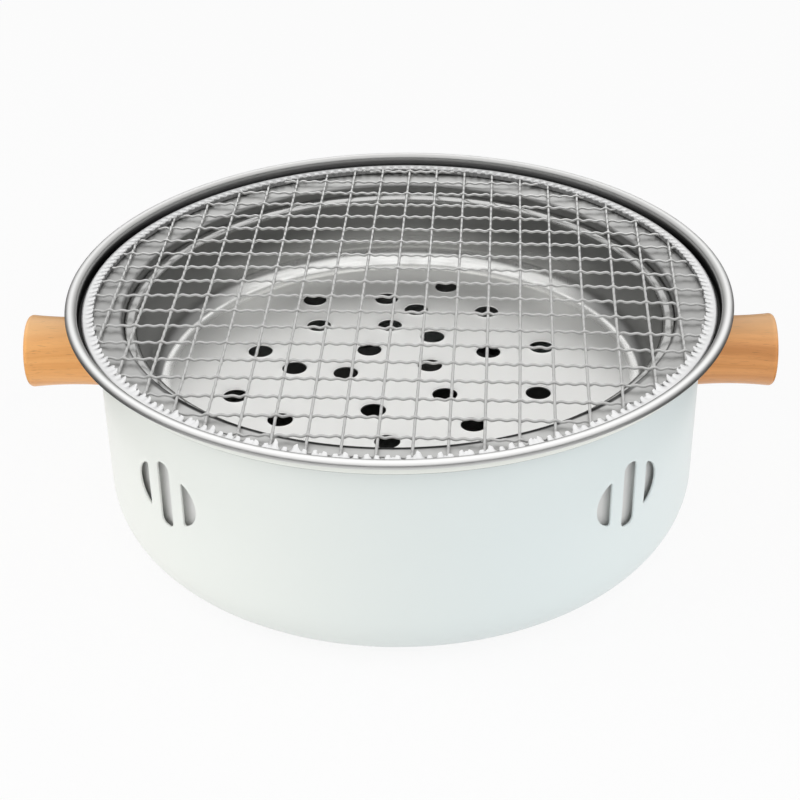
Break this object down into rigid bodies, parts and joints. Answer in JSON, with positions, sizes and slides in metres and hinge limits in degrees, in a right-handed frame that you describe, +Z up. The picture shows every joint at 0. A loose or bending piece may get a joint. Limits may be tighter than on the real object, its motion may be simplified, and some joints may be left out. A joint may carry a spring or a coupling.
{
  "type": "table-top charcoal grill",
  "caption": "Round table-top charcoal grill: white vented pot, bright steel rim, lift-off wire grate, perforated charcoal pan, ash tray and wooden side handles.",
  "frame": {"origin": "centre of the flat base, on the surface that the grill stands on", "axes": "+Z up along the pot's axis, +X towards the right-hand handle, -Y towards the front of the picture"},
  "size_m": [0.3042, 0.2658, 0.1013],
  "materials": {
    "white_paint": "gloss",
    "rim_steel": "polished",
    "shield_steel": "mill",
    "pan_steel": "bright",
    "tray_steel": "mill",
    "grate_wire": "bright plated",
    "edge_strip": "bright plated",
    "handle_wood": "satin lacquer",
    "insert_brass": "turned",
    "fastener_steel": "zinc plated"
  },
  "bodies": {
    "pot": {"outer_shell": "white_paint", "rim_collar": "rim_steel", "heat_shield": "shield_steel", "handle_left": "handle_wood", "handle_right": "handle_wood", "handle_insert_left": "insert_brass", "handle_insert_right": "insert_brass", "handle_screw_left": "fastener_steel", "handle_screw_right": "fastener_steel", "handle_washer_left": "fastener_steel", "handle_washer_right": "fastener_steel"},
    "ash_tray_body": {"ash_tray": "tray_steel"},
    "charcoal_pan_body": {"charcoal_pan": "pan_steel"},
    "grate": {"grate_net": "grate_wire", "grate_edge_band": "edge_strip"}
  },
  "joints": [
    {"name": "ash_tray_lift", "type": "slide", "parent": "pot", "child": "ash_tray_body", "axis": [0, 0, 1], "range_m": [0, 0.13]},
    {"name": "charcoal_pan_lift", "type": "slide", "parent": "ash_tray_body", "child": "charcoal_pan_body", "axis": [0, 0, 1], "range_m": [0, 0.06]},
    {"name": "grate_lift", "type": "slide", "parent": "charcoal_pan_body", "child": "grate", "axis": [0, 0, 1], "range_m": [0, 0.12]}
  ]
}
